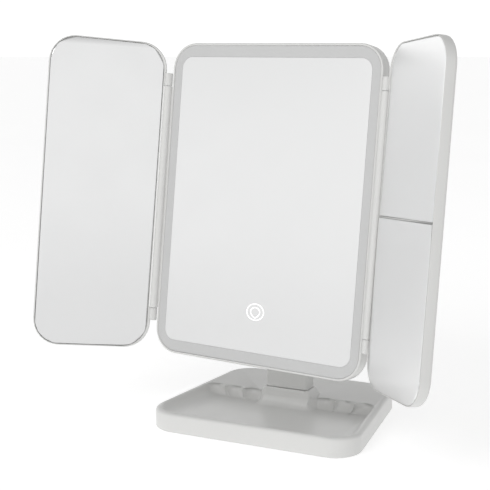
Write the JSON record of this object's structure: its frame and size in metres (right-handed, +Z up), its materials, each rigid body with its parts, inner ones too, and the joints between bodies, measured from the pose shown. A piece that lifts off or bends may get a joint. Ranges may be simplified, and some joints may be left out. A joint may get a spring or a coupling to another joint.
{
  "type": "lighted vanity mirror",
  "caption": "Folding lighted vanity mirror: framed light-ring mirror with hinged side wings on a tilting, swivelling neck over a shallow tray base with scalloped holders.",
  "frame": {"origin": "middle of the base at table level, on the underside of the non-slip pad", "axes": "+Z up, the mirror faces -Y, +X to the right as the user sits in front of it"},
  "size_m": [0.3447, 0.2021, 0.3088],
  "materials": {
    "white_shell": "satin white moulded ABS",
    "mirror_glass": "silvered float glass",
    "diffuser_plastic": "opal diffuser",
    "reflector_plastic": "white reflector plate",
    "circuit_board": "green solder resist",
    "nylon": "natural nylon",
    "steel": "zinc plated steel",
    "battery_sleeve": "plain blue sleeve",
    "rubber_pad": "matt dark rubber"
  },
  "bodies": {
    "base": {"base_tray": "white_shell", "base_bottom_plate": "white_shell", "base_weight": "steel", "non_slip_pad": "rubber_pad", "neck_column": "white_shell", "neck_rear_cover": "white_shell", "neck_screw": "steel", "base_screw_1": "steel", "base_screw_2": "steel", "base_screw_3": "steel", "base_screw_4": "steel"},
    "swivel": {"swivel_block": "white_shell", "swivel_bolt": "steel", "swivel_nut": "steel", "swivel_washer": "nylon"},
    "head": {"head_front_frame": "white_shell", "head_rear_cover": "white_shell", "tilt_bracket": "white_shell", "main_mirror_glass": "mirror_glass", "light_diffuser": "diffuser_plastic", "light_mid_plate": "reflector_plastic", "led_board": "reflector_plastic", "control_board": "circuit_board", "touch_sensor_pad": "nylon", "tilt_washer_left": "nylon", "tilt_washer_right": "nylon", "left_hinge_pin_upper": "steel", "left_hinge_pin_lower": "steel", "right_hinge_pin_upper": "steel", "right_hinge_pin_lower": "steel", "tilt_axle": "steel", "tilt_axle_nut": "steel", "usb_socket": "steel", "battery_contact_top": "steel", "battery_contact_bottom": "steel", "rear_cover_screw_1": "steel", "rear_cover_screw_2": "steel", "rear_cover_screw_3": "steel", "rear_cover_screw_4": "steel", "bracket_screw_1": "steel", "bracket_screw_2": "steel", "bracket_screw_3": "steel", "bracket_screw_4": "steel", "battery_1": "battery_sleeve", "battery_2": "battery_sleeve", "battery_3": "battery_sleeve", "battery_4": "battery_sleeve"},
    "left_wing": {"left_wing_shell": "white_shell", "left_wing_mirror": "mirror_glass"},
    "right_wing": {"right_wing_shell": "white_shell", "right_upper_mirror": "mirror_glass", "right_lower_mirror": "mirror_glass"},
    "battery_door": {"battery_door": "white_shell"}
  },
  "joints": [
    {"name": "swivel", "type": "hinge", "parent": "base", "child": "swivel", "pos_m": [0, 0.0147, 0.09], "axis": [0, 0, 1], "range_deg": [-33, 47]},
    {"name": "tilt", "type": "hinge", "parent": "swivel", "child": "head", "pos_m": [-0.0033, -0.01245, 0.10335], "axis": [-0.9927, 0.1208, 0], "range_deg": [-15, 45]},
    {"name": "left_wing_fold", "type": "hinge", "parent": "head", "child": "left_wing", "pos_m": [-0.10191, -0.01813, 0.1784], "axis": [0.0163, 0.1337, 0.9909], "range_deg": [-45.5, 133.9]},
    {"name": "right_wing_fold", "type": "hinge", "parent": "head", "child": "right_wing", "pos_m": [0.09106, -0.04162, 0.1784], "axis": [-0.0163, -0.1337, -0.9909], "range_deg": [-42.5, 136.9]},
    {"name": "battery_door_slide", "type": "slide", "parent": "head", "child": "battery_door", "axis": [0.1197, 0.9836, -0.1347], "range_m": [0, 0.02]}
  ]
}
